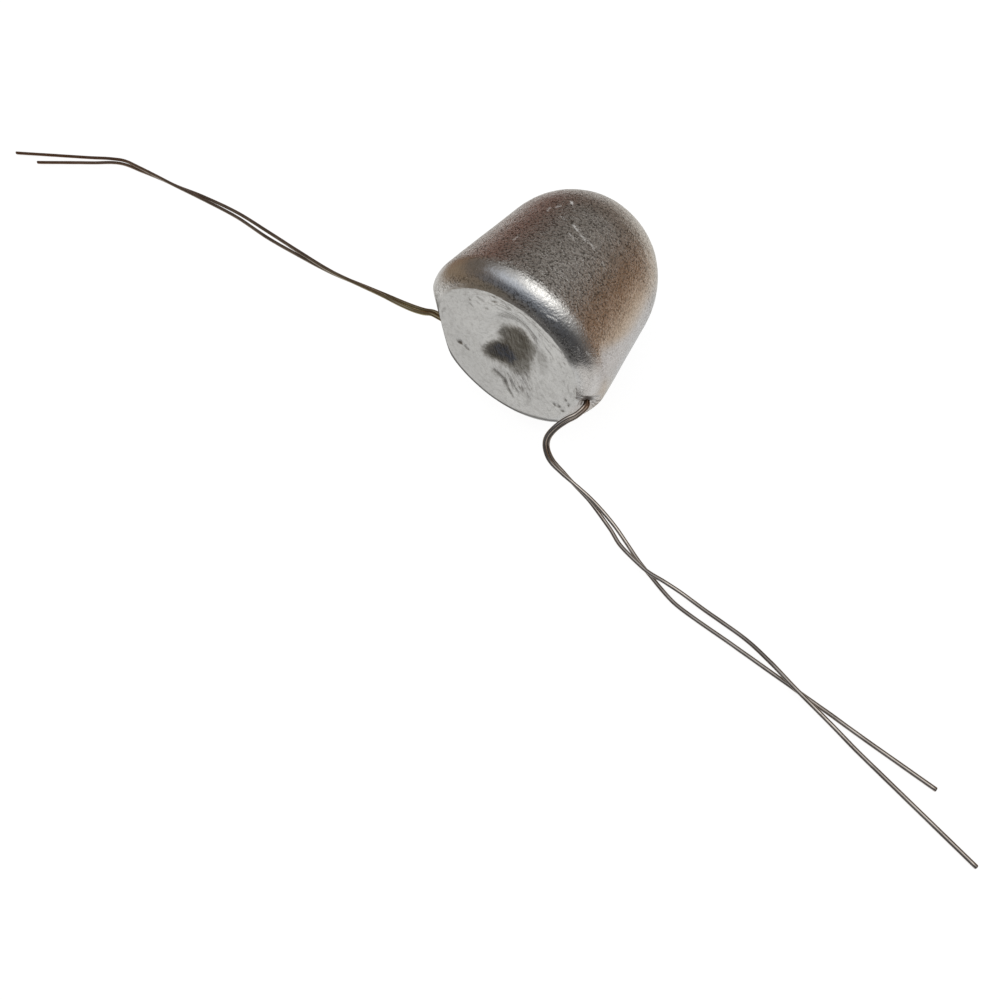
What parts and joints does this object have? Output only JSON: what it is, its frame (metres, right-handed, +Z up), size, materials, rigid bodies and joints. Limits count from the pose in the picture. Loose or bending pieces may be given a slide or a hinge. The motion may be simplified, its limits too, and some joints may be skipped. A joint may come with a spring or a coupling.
{
  "type": "domed metal casting with tie wires",
  "caption": "Solid domed metal casting with a flat poured face, and thin tie wires set through its rim with long free ends for twisting round a bar.",
  "frame": {"origin": "centre of the flat poured face", "axes": "+Z up with the casting lying on its drafted wall; +Y runs from the poured face towards the dome, and the casting's own axis leans 7 degrees below +Y because the wall is drafted; +X runs along the wires, towards the pair of ends that is bent down round the rim"},
  "size_m": [0.3378, 0.0897, 0.0477],
  "materials": {
    "cast_zinc": "as-cast bright zinc: fine granular mould skin on the wall and dome, smooth shiny rim, wrinkled poured face",
    "tie_wire": "annealed steel wire, brown heat tint near the casting and at the left-hand ends"
  },
  "bodies": {
    "root": {"zinc_casting": "cast_zinc", "tie_wire_a": "tie_wire", "tie_wire_b": "tie_wire"}
  },
  "joints": []
}
